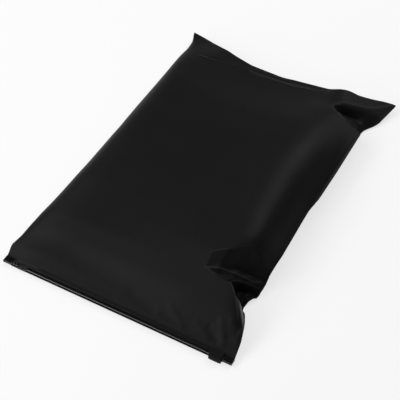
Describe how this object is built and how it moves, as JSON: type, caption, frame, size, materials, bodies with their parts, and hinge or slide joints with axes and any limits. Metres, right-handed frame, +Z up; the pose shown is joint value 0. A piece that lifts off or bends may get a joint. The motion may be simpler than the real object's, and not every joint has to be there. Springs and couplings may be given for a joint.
{
  "type": "resealable slider bag",
  "caption": "Filled, closed bag of matt black film lying flat, with an interlocking strip closure and a slider along its mouth.",
  "frame": {"origin": "on the resting surface, under the middle of the bag between its corners", "axes": "+X along the closure towards the slider's closed end, +Y from the closure to the foot seam, +Z up"},
  "size_m": [0.3, 0.459, 0.0578],
  "materials": {
    "film": "matt opaque film with a soft sheen",
    "strip": "smooth extruded plastic",
    "slider": "moulded satin plastic"
  },
  "bodies": {
    "bag": {"bag_body": "film", "zip_rib_strip": "strip", "zip_groove_strip": "strip"},
    "slider": {"slider": "slider"}
  },
  "joints": [
    {"name": "slider_travel", "type": "slide", "parent": "bag", "child": "slider", "axis": [1, 0, 0], "range_m": [-0.26, 0]}
  ]
}
